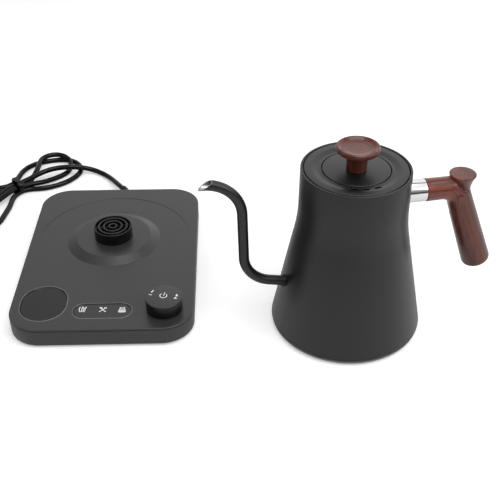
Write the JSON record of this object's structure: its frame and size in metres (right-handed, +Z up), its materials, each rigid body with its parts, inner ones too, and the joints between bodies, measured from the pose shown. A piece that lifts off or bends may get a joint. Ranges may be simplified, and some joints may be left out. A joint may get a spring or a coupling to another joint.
{
  "type": "electric kettle",
  "caption": "Electric gooseneck kettle with a wooden handle and lid knob, standing beside its flat power base with a dial, touch keys, a display window and a tied mains cord.",
  "frame": {"origin": "on the floor, under the middle of the box round the power base and the kettle together, without the mains cord", "axes": "+X from the power base towards the kettle and its handle, +Y from the dial side of the base towards the cord outlet, +Z up"},
  "size_m": [0.529, 0.3625, 0.177],
  "materials": {
    "cover_plastic": "matt charcoal",
    "housing_plastic": "matt charcoal",
    "foot_rubber": "matt black",
    "screw_steel": "zinc plated",
    "smoked_window": "dark satin window",
    "circuit_board": "green solder mask",
    "key_plastic": "satin dark grey",
    "encoder_metal": "die cast",
    "component_black": "matt black",
    "relay_blue": "blue case",
    "transformer_tape": "yellow tape",
    "connector_black": "matt black",
    "contact_brass": "bright",
    "knob_plastic": "matt black",
    "rotor_plastic": "white",
    "shaft_steel": "turned",
    "cord_vinyl": "satin black",
    "tie_vinyl": "satin black",
    "pin_nickel": "nickel plated",
    "black_enamel": "matt black coating",
    "inner_steel": "brushed stainless",
    "heater_aluminium": "as cast",
    "heater_sheath": "oxidised",
    "silicone_seal": "soft",
    "foot_ring_plastic": "satin mid grey",
    "socket_plastic": "matt black",
    "polished_steel": "polished stainless",
    "carved_wood": "oiled reddish brown",
    "lid_gasket_rubber": "soft"
  },
  "bodies": {
    "power_base": {"top_cover": "cover_plastic", "bottom_housing": "housing_plastic", "rubber_feet": "foot_rubber", "base_screws": "screw_steel", "display_window": "smoked_window", "display_board": "circuit_board", "touch_key_plate": "key_plastic", "touch_board": "circuit_board", "control_board": "circuit_board", "encoder_body": "encoder_metal", "buzzer": "component_black", "power_board": "circuit_board", "relay": "relay_blue", "transformer": "transformer_tape", "connector_boss": "connector_black", "connector_rings": "contact_brass", "terminal_block": "component_black", "cord_clamp": "component_black", "strain_relief": "cord_vinyl", "cord_run": "cord_vinyl", "cord_bundle": "cord_vinyl", "cord_tie": "tie_vinyl", "cord_tail": "cord_vinyl", "mains_plug": "cord_vinyl", "plug_pins": "pin_nickel"},
    "dial_rotor": {"encoder_rotor": "rotor_plastic"},
    "dial": {"dial_knob": "knob_plastic", "encoder_shaft": "shaft_steel"},
    "kettle": {"body_shell": "black_enamel", "lid_seat_ring": "inner_steel", "vessel_floor": "inner_steel", "heating_plate": "heater_aluminium", "heating_element": "heater_sheath", "temperature_sensor": "inner_steel", "sensor_seal": "silicone_seal", "foot_ring": "foot_ring_plastic", "underside_cover": "socket_plastic", "kettle_foot_pads": "foot_rubber", "underside_screws": "screw_steel", "connector_socket": "socket_plastic", "socket_contacts": "contact_brass", "spout_collar": "black_enamel", "spout_tube": "black_enamel", "handle_ferrule": "polished_steel", "handle_stud": "screw_steel", "handle_insert": "contact_brass", "wooden_handle": "carved_wood"},
    "lid": {"lid_cover": "black_enamel", "lid_centre_disc": "black_enamel", "lid_plug": "socket_plastic", "lid_gasket": "lid_gasket_rubber", "lid_knob": "carved_wood", "lid_knob_screw": "screw_steel"}
  },
  "joints": [
    {"name": "kettle_lift", "type": "slide", "parent": "power_base", "child": "kettle", "axis": [0, 0, 1], "range_m": [0, 0.15]},
    {"name": "lid_lift", "type": "slide", "parent": "kettle", "child": "lid", "axis": [0, 0, 1], "range_m": [0, 0.06]},
    {"name": "dial_turn", "type": "hinge", "parent": "power_base", "child": "dial_rotor", "pos_m": [-0.07744, -0.0717, 0.03], "axis": [0, 0, 1], "continuous": true},
    {"name": "dial_press", "type": "slide", "parent": "dial_rotor", "child": "dial", "axis": [0, 0, -1], "range_m": [0, 0.0008], "stiffness_N_per_m": 800, "springref_m": -0.002}
  ]
}
